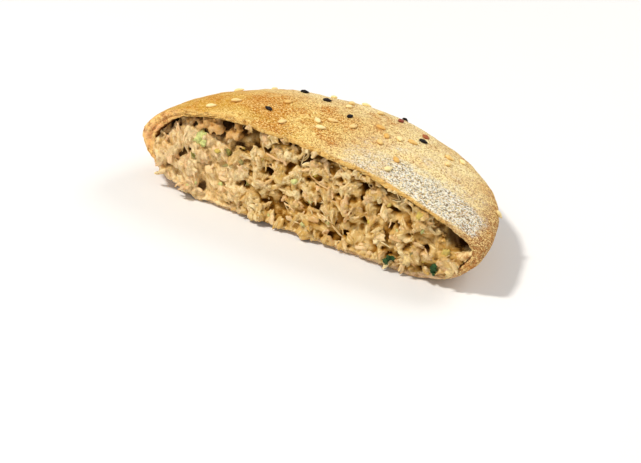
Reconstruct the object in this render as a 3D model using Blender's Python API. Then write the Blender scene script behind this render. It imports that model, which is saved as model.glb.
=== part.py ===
"""Half of a round stuffed flatbread, cut across with a knife, lying on its flat base.

The cut, where the tuna filling shows, faces -Y, its long side runs along X and the base lies on Z = 0.
The bread is a thin crust, closed all round the back, and the filling is one mass that runs through it,
with crags and flakes on the cut face. All lengths are in metres.
"""

import math
import random

import bmesh
import bpy
from mathutils import Matrix, Vector, noise

# The bread before it was cut
BREAD_RADIUS = 0.0621
CUT_PAST_CENTRE = 0.0030
RIM_HEIGHT = 0.0160
CROWN_RISE = 0.0164
BASE_DROP = 0.0170
CROWN_LEAN = 0.30
TOP_SQUARENESS = 2.5
TOP_SQUARENESS_LEAN = 0.5
TOP_ROUNDNESS = 1.7
BASE_SQUARENESS = 5.0
BASE_ROUNDNESS = 1.6

# The crust
CROWN_THICKNESS = 0.0017
BASE_THICKNESS = 0.0021
RIM_THICKNESS = 0.0036
LEFT_RIM_EXTRA = 0.0020
CRUST_SWELL = 0.0005
SWELL_LENGTH = 0.020
FINER_SWELL = 2.7
SWELL_FADE = 0.004
LIP_WAVE = 0.0010
LIP_WAVE_LENGTH = 0.011
LIP_DEPTH = 0.008
LIP_ROUNDING = 0.0006
SEAM_HEIGHT = 0.0085
SEAM_WIDTH = 0.0022
SEAM_DEPTH = 0.0006
RING_POINTS = 84
OUTER_RINGS = 28
INNER_RINGS = 16
RING_EVENNESS = 0.4
FIRST_RING = 0.003

# The filling
CLEARANCE = 0.0003
BODY_CLEARANCE = 0.0004
FACE_BULGE = 0.0004
FACE_LEAN = 0.14
CRAG_SIZE = 0.0064
CRAG_DEPTH = 0.0048
CRAG_MIDDLE = 0.42
CRAG_EDGE = 0.62
GRAIN_SIZE = 0.0030
GRAIN_DEPTH = 0.0008
FACE_STEP = 0.0020
FACE_LENGTH = 0.128
FACE_HEIGHT = 0.040
FACE_BELOW_BASE = 0.003
FORWARD_REACH = 0.008
OVERHANG = 0.0014
OVERHANG_FROM = 0.0012
OVERHANG_FALL = 0.007
OVERHANG_ON_RIGHT = 0.45
LEFT_OVERHANG = 0.0018
LEFT_SAG = 0.0010
LEFT_START = 0.45
LEFT_WIDTH = 0.40
LOWEST_FILLING = 0.0006
FLAKES = 60
FLAKE_AREA = ((-0.058, 0.056), (0.0035, 0.031))
FLAKE_INSET = 0.93
FLAKE_STAND = 0.0006
FLAKE_RISE = 16
FLAKE_SPACING = 0.0045
FLAKE_LENGTH = (0.0048, 0.0085)
FLAKE_WIDTH = (0.0026, 0.0040)
FLAKE_THICKNESS = (0.0018, 0.0028)
FLAKE_SEED = 11

# Hollows in the cut face: x, z, half length, half height, depth
HOLLOWS = (
    (-0.0370, 0.0290, 0.0165, 0.0042, 0.0060),
    (-0.0515, 0.0225, 0.0030, 0.0036, 0.0055),
    (-0.0306, 0.0285, 0.0060, 0.0038, 0.0035),
    (-0.0030, 0.0320, 0.0100, 0.0022, 0.0026),
    (0.0085, 0.0305, 0.0060, 0.0020, 0.0028),
    (-0.0147, 0.0183, 0.0024, 0.0019, 0.0030),
    (-0.0075, 0.0090, 0.0028, 0.0024, 0.0034),
    (0.0200, 0.0240, 0.0032, 0.0022, 0.0030),
    (0.0300, 0.0250, 0.0042, 0.0018, 0.0028),
    (0.0530, 0.0185, 0.0062, 0.0056, 0.0095),
)

# Long strands on the cut face: x, z, length, turn and rise out of the face in degrees
STRANDS = (
    (-0.0530, 0.0060, 0.0085, 35, 8),
    (-0.0485, 0.0215, 0.0075, -65, 10),
    (-0.0440, 0.0045, 0.0065, 40, 12),
    (-0.0100, 0.0250, 0.0090, -50, 8),
    (0.0080, 0.0045, 0.0060, 60, 12),
    (0.0350, 0.0165, 0.0080, -55, 12),
    (0.0310, 0.0040, 0.0085, 12, 10),
)
STRAND_THICKNESS = 0.0013

# Seeds baked onto the crust: x, y from the cut, turn in degrees
SESAME_SIZE = (0.0034, 0.0020, 0.0011)
NIGELLA_SIZE = (0.0030, 0.0015, 0.0012)
SEED_SUNK = 0.3
SESAME_PLACES = (
    (-0.0395, 0.0042, 36), (-0.0347, 0.0117, 33), (-0.0152, 0.0078, 72), (-0.0213, 0.0223, 72),
    (-0.0075, 0.0166, 138), (-0.0042, 0.0129, 27), (-0.0040, 0.0206, 18), (0.0026, 0.0225, 72),
    (-0.0068, 0.0376, 84), (-0.0086, 0.0432, 84), (0.0086, 0.0306, 0), (0.0134, 0.0204, 138),
    (0.0128, 0.0264, 120), (0.0163, 0.0286, 132), (0.0201, 0.0311, 9), (0.0225, 0.0142, 138),
    (0.0237, 0.0066, 72), (0.0318, 0.0350, 9), (0.0337, 0.0301, 84), (0.0345, 0.0395, 144),
    (0.0555, 0.0240, 33), (0.0019, 0.0439, 72), (0.0082, 0.0466, 87), (0.0198, 0.0412, 150),
    (-0.0440, 0.0300, 20), (-0.0360, 0.0400, 100), (-0.0190, 0.0500, 140), (-0.0080, 0.0530, 10),
)
NIGELLA_PLACES = (
    (-0.0235, 0.0129, 165), (-0.0239, 0.0381, 9), (-0.0141, 0.0356, 33), (-0.0018, 0.0284, 78),
    (0.0216, 0.0359, 15), (-0.0300, 0.0475, 60), (0.0060, 0.0545, 75),
)

CRUST_COLOUR = (0.62, 0.36, 0.13, 1)
FILLING_COLOUR = (0.60, 0.42, 0.22, 1)
SHARP_ANGLE = 40

# Depths of a surface under the outside of the bread: at the rim, the crown and the base
OUTSIDE = (0, 0, 0)
INSIDE = (RIM_THICKNESS, CROWN_THICKNESS, BASE_THICKNESS)


def clear_scene():
    for item in list(bpy.data.objects):
        bpy.data.objects.remove(item)


def new_collection(name):
    collection = bpy.data.collections.new(name)
    bpy.context.scene.collection.children.link(collection)
    return collection


def new_material(name, colour, roughness):
    material = bpy.data.materials.new(name)
    material.use_nodes = True
    shader = material.node_tree.nodes["Principled BSDF"]
    shader.inputs["Base Color"].default_value = colour
    shader.inputs["Roughness"].default_value = roughness
    shader.inputs["Metallic"].default_value = 0
    return material


def new_object(name, bm, collection):
    mesh = bpy.data.meshes.new(name)
    bm.to_mesh(mesh)
    bm.free()
    item = bpy.data.objects.new(name, mesh)
    collection.objects.link(item)
    return item


def new_cutter(name, bm, collection):
    item = new_object(name, bm, collection)
    item.hide_render = True
    item.display_type = "WIRE"
    return item


def fullness(x, y, z, depths=OUTSIDE):
    """1 on a surface of the bread and less inside it: a squared-off dome over a flatter base."""
    rim, crown, base = depths
    side = max(-1, min(1, x / BREAD_RADIUS))
    if rim > 0:
        rim += LEFT_RIM_EXTRA * max(0, -side)
    plan = math.hypot(x, y + CUT_PAST_CENTRE) / (BREAD_RADIUS - rim)
    if z >= RIM_HEIGHT:
        rise = (z - RIM_HEIGHT) / (CROWN_RISE * (1 - CROWN_LEAN * side) - crown)
        return plan ** (TOP_SQUARENESS - TOP_SQUARENESS_LEAN * side) + rise**TOP_ROUNDNESS
    drop = (RIM_HEIGHT - z) / (BASE_DROP - base)
    return plan**BASE_SQUARENESS + drop**BASE_ROUNDNESS


def surface_point(direction, depths=OUTSIDE):
    """Where a ray from the middle of the cut, at rim height, meets a surface of the bread."""
    near, far = 0.0, 2 * BREAD_RADIUS
    for _ in range(30):
        middle = (near + far) / 2
        point = direction * middle
        if fullness(point.x, point.y, point.z + RIM_HEIGHT, depths) < 1:
            near = middle
        else:
            far = middle
    point = direction * near
    point.z = max(point.z + RIM_HEIGHT, depths[2])
    return point


def surface_normal(point):
    step = 1e-5
    slope = [
        fullness(*(point + axis * step)) - fullness(*(point - axis * step))
        for axis in (Vector((1, 0, 0)), Vector((0, 1, 0)), Vector((0, 0, 1)))
    ]
    return Vector(slope).normalized()


def crust_swell(point, normal):
    """Baked unevenness of the outside, and the shallow crease where the two sheets of dough were pressed."""
    broad = noise.noise(point / SWELL_LENGTH)
    small = noise.noise(point / SWELL_LENGTH * FINER_SWELL + Vector((7, 3, 1)))
    fold = math.exp(-(((point.z - SEAM_HEIGHT) / SEAM_WIDTH) ** 2)) * math.hypot(normal.x, normal.y)
    off_base = max(0, min(1, point.z / SWELL_FADE))
    return (CRUST_SWELL * (broad + 0.5 * small) - SEAM_DEPTH * fold) * off_base


def lip_shift(point):
    """How far the cut's edge stands forward or back, fading away behind the cut."""
    wave = noise.noise(Vector((point.x, 0, point.z)) / LIP_WAVE_LENGTH + Vector((3, 9, 4)))
    return LIP_WAVE * wave * math.exp(-point.y / LIP_DEPTH)


def even_direction(unit):
    """Turns a point of a unit sphere, poles on Y, into a ray that spreads evenly over the flat bread."""
    radius = math.hypot(unit.x, unit.z)
    angle = math.atan2(unit.z, unit.x)
    angle += RING_EVENNESS * math.sin(2 * angle) / 2
    across, up = radius * math.cos(angle), radius * math.sin(angle)
    return Vector((across * BREAD_RADIUS, unit.y * BREAD_RADIUS, up * RIM_HEIGHT)).normalized()


def half_skin(rings, depths):
    """The back half of a surface of the bread, open at the cut."""
    bm = bmesh.new()
    bmesh.ops.create_uvsphere(bm, u_segments=RING_POINTS, v_segments=rings, radius=1)
    bmesh.ops.rotate(bm, verts=bm.verts, cent=(0, 0, 0), matrix=Matrix.Rotation(math.pi / 2, 3, "X"))
    front = [vert for vert in bm.verts if vert.co.y < -1e-4]
    bmesh.ops.delete(bm, geom=front, context="VERTS")
    for vert in bm.verts:
        vert.co.y = max(0, vert.co.y)
        point = surface_point(even_direction(vert.co), depths)
        if depths[0] <= 0:
            outside = surface_point(even_direction(vert.co))
            normal = surface_normal(outside)
            swell = normal * crust_swell(outside, normal)
            point += Vector((swell.x, swell.y if vert.co.y else 0, swell.z))
            point.z = max(point.z, depths[2])
        point.y += lip_shift(point)
        vert.co = point
    bmesh.ops.recalc_face_normals(bm, faces=bm.faces)
    return bm


def cut_edges(bm):
    return [edge for edge in bm.edges if edge.is_boundary]


def verts_of(geometry):
    return [part for part in geometry if isinstance(part, bmesh.types.BMVert)]


def crust_shell(grow):
    """The crust as one closed mesh, with a rounded lip at the cut. grow thickens it all round."""
    bm = half_skin(OUTER_RINGS, [depth - grow for depth in OUTSIDE])
    inner = half_skin(INNER_RINGS, [depth + grow for depth in INSIDE])
    bmesh.ops.reverse_faces(inner, faces=inner.faces)
    mesh = bpy.data.meshes.new("inside")
    inner.to_mesh(mesh)
    inner.free()
    bm.from_mesh(mesh)
    bpy.data.meshes.remove(mesh)
    lips = set(cut_edges(bm))
    bridge = bmesh.ops.bridge_loops(bm, edges=list(lips))
    across = [edge for edge in bridge["edges"] if edge not in lips]
    for vert in verts_of(bmesh.ops.subdivide_edges(bm, edges=across, cuts=1)["geom_inner"]):
        vert.co.y -= LIP_ROUNDING
    for vert in bm.verts:
        if vert.co.y < FIRST_RING:
            vert.co.y -= grow
    bmesh.ops.recalc_face_normals(bm, faces=bm.faces)
    return bm


def crag_distance(x, z):
    """0 at the middle of a crag of filling, and about 1 in the deepest crevice between crags."""
    distances, _ = noise.voronoi(Vector((x, 0, z)) / CRAG_SIZE + Vector((2, 5, 8)))
    return distances[0]


def lowness(z):
    """0 at rim height and above, and 1 low on the cut."""
    return max(0, min(1, (RIM_HEIGHT - z) / OVERHANG_FALL))


def left_lowness(x, z):
    """1 at the lower left of the cut, where the filling sags the most."""
    return lowness(z) * max(0, min(1, (-x / BREAD_RADIUS - LEFT_START) / LEFT_WIDTH))


def face_relief(x, z):
    """The cut face of the filling, as y: further out low down, and broken into crags and hollows."""
    crags = CRAG_DEPTH * (crag_distance(x, z) - CRAG_MIDDLE)
    grain = GRAIN_DEPTH * noise.noise(Vector((x, 0, z)) / GRAIN_SIZE)
    hollow = 0
    for centre_x, centre_z, half_length, half_height, depth in HOLLOWS:
        reach = ((x - centre_x) / half_length) ** 2 + ((z - centre_z) / half_height) ** 2
        hollow = max(hollow, depth * math.exp(-reach))
    forward = FACE_BULGE + LEFT_SAG * left_lowness(x, z)
    return FACE_LEAN * (z - RIM_HEIGHT) - forward + crags + grain + hollow


def face_block(collection):
    """A block whose front is the crag relief and whose back lies past the rim."""
    bm = bmesh.new()
    columns, rows = round(FACE_LENGTH / FACE_STEP), round(FACE_HEIGHT / FACE_STEP)
    bmesh.ops.create_grid(bm, x_segments=columns, y_segments=rows, size=0.5)
    bmesh.ops.triangulate(bm, faces=bm.faces)
    back = set(verts_of(bmesh.ops.extrude_face_region(bm, geom=list(bm.faces))["geom"]))
    for vert in bm.verts:
        x, z = vert.co.x * FACE_LENGTH, (vert.co.y + 0.5) * FACE_HEIGHT - FACE_BELOW_BASE
        vert.co = (x, 2 * BREAD_RADIUS if vert in back else face_relief(x, z), z)
    bmesh.ops.dissolve_limit(bm, angle_limit=1e-4, verts=bm.verts, edges=bm.edges)
    bmesh.ops.recalc_face_normals(bm, faces=bm.faces)
    return new_cutter("face_block", bm, collection)


def overhang(point):
    """How far the filling spreads low down over the crust's cut edge, most at the left."""
    right = max(0, min(1, 2 * point.x / BREAD_RADIUS))
    sag = OVERHANG * lowness(point.z) * (1 - (1 - OVERHANG_ON_RIGHT) * right)
    return sag + LEFT_OVERHANG * left_lowness(point.x, point.z)


def filling_body(collection):
    """The inside of the crust, carried forward past the cut so that the relief can trim it."""
    bm = half_skin(INNER_RINGS, [depth + BODY_CLEARANCE for depth in INSIDE])
    for reach, spread in ((OVERHANG_FROM, True), (FORWARD_REACH, False)):
        forward = bmesh.ops.extrude_edge_only(bm, edges=cut_edges(bm))
        for vert in verts_of(forward["geom"]):
            if spread:
                spot = Vector((vert.co.x, 0, vert.co.z))
                vert.co += surface_normal(spot) * overhang(spot)
                vert.co.z = max(vert.co.z, LOWEST_FILLING)
            vert.co.y = -reach
    bmesh.ops.holes_fill(bm, edges=cut_edges(bm))
    bmesh.ops.recalc_face_normals(bm, faces=bm.faces)
    return new_object("tuna_filling", bm, collection)


def add_lump(size, place, turn, rise, roll, collection):
    """One flake or strand of tuna: a long lump lying on the cut face, turned in it and tipped out of it."""
    bm = bmesh.new()
    bmesh.ops.create_icosphere(bm, subdivisions=1, radius=0.5)
    for vert in bm.verts:
        vert.co = [part * length for part, length in zip(vert.co, size)]
    item = new_cutter("flake", bm, collection)
    turned = Matrix.Rotation(math.radians(-turn), 4, "Y") @ Matrix.Rotation(math.radians(rise), 4, "Z")
    item.matrix_world = Matrix.Translation(place) @ turned @ Matrix.Rotation(math.radians(roll), 4, "X")


def scatter_flakes(collection):
    for x, z, length, turn, rise in STRANDS:
        place = (x, face_relief(x, z) - STRAND_THICKNESS / 2, z)
        add_lump((length, STRAND_THICKNESS, STRAND_THICKNESS), place, turn, rise, 0, collection)
    draw = random.Random(FLAKE_SEED)
    placed = []
    while len(placed) < FLAKES:
        x, z = [draw.uniform(*limits) for limits in FLAKE_AREA]
        crowded = any(math.hypot(x - a, z - b) < FLAKE_SPACING for a, b in placed)
        inset = fullness(x, 0, z, INSIDE) < FLAKE_INSET
        if inset and crag_distance(x, z) < CRAG_EDGE and not crowded:
            placed.append((x, z))
            size = [draw.uniform(*limits) for limits in (FLAKE_LENGTH, FLAKE_WIDTH, FLAKE_THICKNESS)]
            place = (x, face_relief(x, z) + draw.uniform(-FLAKE_STAND, FLAKE_STAND), z)
            turn, rise = draw.uniform(0, 180), draw.uniform(-FLAKE_RISE, FLAKE_RISE)
            add_lump(size, place, turn, rise, draw.uniform(0, 180), collection)


def seed_mesh(size):
    """A flat teardrop: an egg shape whose one end is drawn in."""
    bm = bmesh.new()
    bmesh.ops.create_uvsphere(bm, u_segments=6, v_segments=4, radius=0.5)
    bmesh.ops.rotate(bm, verts=bm.verts, cent=(0, 0, 0), matrix=Matrix.Rotation(math.pi / 2, 3, "Y"))
    for vert in bm.verts:
        taper = 1 - max(0, vert.co.x)
        vert.co = (vert.co.x * size[0], vert.co.y * size[1] * taper, vert.co.z * size[2] * taper)
    return bm


def drop_on_crust(x, y):
    """The point of the dome above (x, y)."""
    low, high = RIM_HEIGHT, RIM_HEIGHT + 2 * CROWN_RISE
    for _ in range(30):
        middle = (low + high) / 2
        if fullness(x, y, middle) < 1:
            low = middle
        else:
            high = middle
    return Vector((x, y, low))


def place_seed(size, x, y, turn, collection):
    item = new_cutter("seed", seed_mesh(size), collection)
    point = drop_on_crust(x, y)
    normal = surface_normal(point)
    point.y += lip_shift(point)
    point += normal * (crust_swell(point, normal) + size[2] * (0.5 - SEED_SUNK))
    along = Vector((math.cos(math.radians(turn)), math.sin(math.radians(turn)), 0))
    along = (along - normal * along.dot(normal)).normalized()
    stand = Matrix((along, normal.cross(along), normal)).transposed().to_4x4()
    item.matrix_world = Matrix.Translation(point) @ stand


def scatter_seeds(collection):
    for size, places in ((SESAME_SIZE, SESAME_PLACES), (NIGELLA_SIZE, NIGELLA_PLACES)):
        for x, y, turn in places:
            place_seed(size, x, y, turn, collection)


def apply_boolean(item, operation, other):
    """Joins, cuts or trims item with an object or a collection's objects, and then removes them."""
    modifier = item.modifiers.new(operation.lower(), "BOOLEAN")
    modifier.operation = operation
    modifier.solver = "MANIFOLD"
    if isinstance(other, bpy.types.Collection):
        modifier.operand_type = "COLLECTION"
        modifier.collection = other
        used = list(other.objects)
    else:
        modifier.object = other
        used = [other]
    bpy.context.view_layer.update()
    graph = bpy.context.evaluated_depsgraph_get()
    mesh = bpy.data.meshes.new_from_object(item.evaluated_get(graph))
    item.modifiers.clear()
    item.data = mesh
    for one in used:
        bpy.data.objects.remove(one)


def keep_largest_piece(item):
    """Drops the loose scraps that a cut leaves."""
    bm = bmesh.new()
    bm.from_mesh(item.data)
    waiting, pieces = set(bm.verts), []
    while waiting:
        stack, piece = [waiting.pop()], []
        while stack:
            vert = stack.pop()
            piece.append(vert)
            for edge in vert.link_edges:
                other = edge.other_vert(vert)
                if other in waiting:
                    waiting.remove(other)
                    stack.append(other)
        pieces.append(piece)
    pieces.sort(key=len)
    bmesh.ops.delete(bm, geom=[vert for piece in pieces[:-1] for vert in piece], context="VERTS")
    bm.to_mesh(item.data)
    bm.free()


def wear(item, material):
    item.data.materials.clear()
    item.data.materials.append(material)


def build_crust(parts, cutters):
    crust = new_object("bread_crust", crust_shell(0), parts)
    seeds = bpy.data.collections.new("seeds")
    cutters.children.link(seeds)
    scatter_seeds(seeds)
    apply_boolean(crust, "UNION", seeds)
    keep_largest_piece(crust)
    wear(crust, new_material("baked_crust", CRUST_COLOUR, 0.8))
    return crust


def build_filling(parts, cutters):
    filling = filling_body(parts)
    apply_boolean(filling, "INTERSECT", face_block(cutters))
    flakes = bpy.data.collections.new("flakes")
    cutters.children.link(flakes)
    scatter_flakes(flakes)
    apply_boolean(filling, "UNION", flakes)
    apply_boolean(filling, "DIFFERENCE", new_cutter("crust_room", crust_shell(CLEARANCE), cutters))
    keep_largest_piece(filling)
    wear(filling, new_material("tuna_mix", FILLING_COLOUR, 0.6))
    return filling


def centre_on_base(items):
    """Moves the whole so that the origin lies under the middle of its bounding box."""
    points = [vert.co for item in items for vert in item.data.vertices]
    low, high = [Vector([pick(point[i] for point in points) for i in range(3)]) for pick in (min, max)]
    shift = Vector((-(low.x + high.x) / 2, -(low.y + high.y) / 2, -low.z))
    for item in items:
        item.data.transform(Matrix.Translation(shift))


def main():
    clear_scene()
    parts = new_collection("tuna_fatayer_half")
    cutters = new_collection("cutters")
    items = [build_crust(parts, cutters), build_filling(parts, cutters)]
    centre_on_base(items)
    for item in items:
        item.data.shade_smooth()
        item.data.set_sharp_from_angle(angle=math.radians(SHARP_ANGLE))


main()
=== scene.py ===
import math
import random

import bmesh
import bpy
import numpy as np
from mathutils import Matrix, Vector, kdtree, noise


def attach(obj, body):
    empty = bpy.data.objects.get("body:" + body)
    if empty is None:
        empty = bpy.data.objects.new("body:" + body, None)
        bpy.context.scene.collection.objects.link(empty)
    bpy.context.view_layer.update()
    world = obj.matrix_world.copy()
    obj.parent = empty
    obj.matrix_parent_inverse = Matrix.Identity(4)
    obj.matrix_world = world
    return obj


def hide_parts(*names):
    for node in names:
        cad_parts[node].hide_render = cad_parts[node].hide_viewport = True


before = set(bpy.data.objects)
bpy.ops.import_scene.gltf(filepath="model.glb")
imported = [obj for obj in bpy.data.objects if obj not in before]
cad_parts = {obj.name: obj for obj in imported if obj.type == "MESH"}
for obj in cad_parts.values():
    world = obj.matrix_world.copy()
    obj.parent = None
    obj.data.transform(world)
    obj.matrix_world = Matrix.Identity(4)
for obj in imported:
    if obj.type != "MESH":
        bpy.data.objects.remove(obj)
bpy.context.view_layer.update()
print("frame loaded")

# the bread before it was cut, in metres, x along the cut and y back from it
bread = {
    "radius": 0.0621,
    "cutPastCentre": 0.0030,
    "rimHeight": 0.0160,
    "crownRise": 0.0164,
    "baseDrop": 0.0170,
    "crownLean": 0.30,
    "topSquareness": 2.5,
    "squarenessLean": 0.5,
    "topRoundness": 1.7,
    "baseSquareness": 5.0,
    "baseRoundness": 1.6,
    "leftRimExtra": 0.0020,
    "swell": 0.0005,
    "swellLength": 0.020,
    "seamHeight": 0.0085,
    "seamWidth": 0.0022,
    "seamDepth": 0.0006,
    "lipWave": 0.0010,
    "lipWaveLength": 0.011,
    "lipDepth": 0.008,
    "cutPlaneY": -0.02747,  # where the cut lies in the frame
}
outside = (0, 0, 0)  # depth under the outside at the rim, the crown and the base
inside = (0.0036, 0.0017, 0.0021)
cutMiddle = np.array((0, 0, bread["rimHeight"]))


def metres(rows, count):
    # the first numbers of each row are in millimetres
    return [tuple(value / 1000 for value in row[:count]) + row[count:] for row in rows]


def smoothStep(low, high, value):
    t = np.clip((value - low) / (high - low), 0, 1)
    return t * t * (3 - 2 * t)


def bell(value):
    return np.exp(-(value**2))


def unit(vectors):
    return vectors / np.linalg.norm(vectors, axis=1)[:, None]


def noiseAt(points, size, shift=(0, 0, 0)):
    # one value from about -1 to 1 for each point
    return np.array([noise.noise(Vector(p)) for p in points / size + np.array(shift)])


def fullness(points, depths=outside):
    # 1 on a surface of the bread and less inside it
    x, y, z = points.T
    rim, crown, base = depths
    side = np.clip(x / bread["radius"], -1, 1)
    rim = rim + bread["leftRimExtra"] * np.maximum(0, -side) * (rim > 0)
    plan = np.hypot(x, y + bread["cutPastCentre"]) / (bread["radius"] - rim)
    rise = (z - bread["rimHeight"]) / (bread["crownRise"] * (1 - bread["crownLean"] * side) - crown)
    drop = (bread["rimHeight"] - z) / (bread["baseDrop"] - base)
    topPower = bread["topSquareness"] - bread["squarenessLean"] * side
    top = plan**topPower + np.maximum(rise, 0) ** bread["topRoundness"]
    low = plan ** bread["baseSquareness"] + np.maximum(drop, 0) ** bread["baseRoundness"]
    return np.where(rise >= 0, top, low)


def surfacePoints(directions, depths=outside):
    # where rays from the middle of the cut meet a surface of the bread
    near, far = np.zeros(len(directions)), np.full(len(directions), 2 * bread["radius"])
    for _ in range(32):
        middle = (near + far) / 2
        within = fullness(cutMiddle + directions * middle[:, None], depths) < 1
        near, far = np.where(within, middle, near), np.where(within, far, middle)
    points = cutMiddle + directions * near[:, None]
    points[:, 2] = np.maximum(points[:, 2], depths[2])
    return points


def backPole(depths):
    return surfacePoints(np.array([(0.0, 1.0, 0.0)]), depths)


def surfaceNormals(points):
    steps = 1e-5 * np.eye(3)
    return unit(np.array([fullness(points + step) - fullness(points - step) for step in steps]).T)


def broadSwell(points, normals):
    # the baked unevenness and the pressed seam that the solid has too
    broad = noiseAt(points, bread["swellLength"])
    small = noiseAt(points, bread["swellLength"] / 2.7, (7, 3, 1))
    seam = bell((points[:, 2] - bread["seamHeight"]) / bread["seamWidth"])
    seam = seam * np.hypot(normals[:, 0], normals[:, 1])
    offBase = np.clip(points[:, 2] / 0.004, 0, 1)
    return (bread["swell"] * (broad + 0.5 * small) - bread["seamDepth"] * seam) * offBase


def lipShift(points):
    wave = noiseAt(points * np.array((1, 0, 1)), bread["lipWaveLength"], (3, 9, 4))
    return bread["lipWave"] * wave * np.exp(-points[:, 1] / bread["lipDepth"])


def roundTurns(count):
    return np.linspace(0, 2 * math.pi, count, endpoint=False)


def cutRays(turns):
    # rays in the plane of the cut, spread evenly round the flat section
    turns = turns + 0.4 * np.sin(2 * turns) / 2
    x, z = np.cos(turns) * bread["radius"], np.sin(turns) * bread["rimHeight"]
    return unit(np.stack((x, 0 * turns, z), axis=1))


def skinRings(count, grading, depths, around):
    # rings from the cut (first) to the back of the bread (last), which closes on a point
    flat = cutRays(roundTurns(around))
    flat = flat / np.hypot(flat[:, 0] / bread["radius"], flat[:, 2] / bread["rimHeight"])[:, None]
    rings = []
    for i in range(count):
        back = math.pi / 2 * (i / count) ** grading
        rays = flat * math.cos(back) + np.array((0, math.sin(back) * bread["radius"], 0))
        rings.append(surfacePoints(unit(rays), depths))
    return rings


def ringFaces(rings, sides, turned=False):
    # the faces of a closed shape made of rings between two end points
    last = 1 + (rings - 1) * sides
    faces = [(0, 1 + k, 1 + (k + 1) % sides) for k in range(sides)]
    for a in range(1, last, sides):
        for k in range(sides):
            n = (k + 1) % sides
            faces.append((a + n, a + k, a + sides + k, a + sides + n))
    faces += [(last + (k + 1) % sides, last + k, last + sides) for k in range(sides)]
    return [face[::-1] for face in faces] if turned else faces


def ballAngles(rows, sides):
    # down from the top and round, for each point of a ball
    angles = []
    for i in range(rows):
        count = sides if 0 < i < rows - 1 else 1
        angles += [(math.pi * i / (rows - 1), 2 * math.pi * k / sides) for k in range(count)]
    return angles


def toFrame(points):
    return np.array(points) + np.array((0, bread["cutPlaneY"], 0))


def newObject(name, data):
    item = bpy.data.objects.new(name, data)
    bpy.context.scene.collection.objects.link(item)
    return item


def newMesh(name, points, faces, slotName, nodeName):
    mesh = bpy.data.meshes.new(name)
    mesh.from_pydata(toFrame(points).tolist(), [], faces)
    mesh.update()
    item = newObject(name, mesh)
    mesh.shade_smooth()
    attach(item, "root")
    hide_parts(nodeName)
    return item


def dress(item, material, **values):
    # the material, and what it reads for each point: numbers or places
    item.data.materials.append(material)
    for name, numbers in values.items():
        numbers = np.asarray(numbers, dtype=np.float32)
        kind, key = ("FLOAT", "value") if numbers.ndim == 1 else ("FLOAT_VECTOR", "vector")
        item.data.attributes.new(name, kind, "POINT").data.foreach_set(key, numbers.ravel())


# newMaterial starts a material, and the helpers below add nodes to the last one started
making = {}


def newMaterial(name):
    making["material"] = bpy.data.materials.new(name)
    making["material"].use_nodes = True
    making["tree"] = making["material"].node_tree


def setInputs(node, inputs):
    # a socket goes by its place, such as n0, or by its name, such as Base_Color
    for key, value in inputs.items():
        socket = node.inputs[int(key[1:]) if key[1:].isdigit() else key.replace("_", " ")]
        if isinstance(value, bpy.types.NodeSocket):
            making["tree"].links.new(value, socket)
        else:
            socket.default_value = value


def addNode(kind, settings=None, **inputs):
    node = making["tree"].nodes.new(kind)
    for key, value in (settings or {}).items():
        setattr(node, key, value)
    setInputs(node, inputs)
    return node


def finished(colour, roughness, **inputs):
    shader = making["tree"].nodes["Principled BSDF"]
    setInputs(shader, {"Base_Color": colour, "Roughness": roughness, **inputs})
    return making["material"]


def objectPlace():
    return addNode("ShaderNodeTexCoord").outputs["Object"]


def grain(scale, detail, roughness=0.6, distortion=0, place=None):
    place = objectPlace() if place is None else place
    settings = {"Scale": scale, "Detail": detail, "Roughness": roughness, "Distortion": distortion}
    return addNode("ShaderNodeTexNoise", Vector=place, **settings).outputs["Fac"]


def ranged(value, low, high, outLow=0, outHigh=1):
    smooth = {"interpolation_type": "SMOOTHSTEP"}
    limits = {"n1": low, "n2": high, "n3": outLow, "n4": outHigh}
    return addNode("ShaderNodeMapRange", smooth, Value=value, **limits).outputs["Result"]


def calc(operation, a, b, clamp=False):
    settings = {"operation": operation, "use_clamp": clamp}
    return addNode("ShaderNodeMath", settings, n0=a, n1=b).outputs["Value"]


def times(a, b):
    return calc("MULTIPLY", a, b)


def plus(a, b):
    return calc("ADD", a, b)


def cells(scale):
    # a random value from 0 to 1 for each small cell
    node = addNode("ShaderNodeTexVoronoi", {"feature": "F1"}, Vector=objectPlace(), Scale=scale)
    return addNode("ShaderNodeSeparateColor", Color=node.outputs["Color"]).outputs[0]


def blend(factor, a, b, kind="MIX"):
    settings = {"data_type": "RGBA", "blend_type": kind}
    return addNode("ShaderNodeMix", settings, n0=factor, n6=a, n7=b).outputs[2]


def painted(colour, tones, *coats):
    # each coat covers what is under it by its factor
    for factor, tone, *kind in coats:
        colour = blend(factor, colour, tones[tone], *kind)
    return colour


def layer(name, output="Fac"):
    return addNode("ShaderNodeAttribute", {"attribute_name": name}).outputs[output]


def bumps(height, distance, strength, **under):
    node = addNode("ShaderNodeBump", Height=height, Distance=distance, Strength=strength, **under)
    return node.outputs["Normal"]


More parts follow.
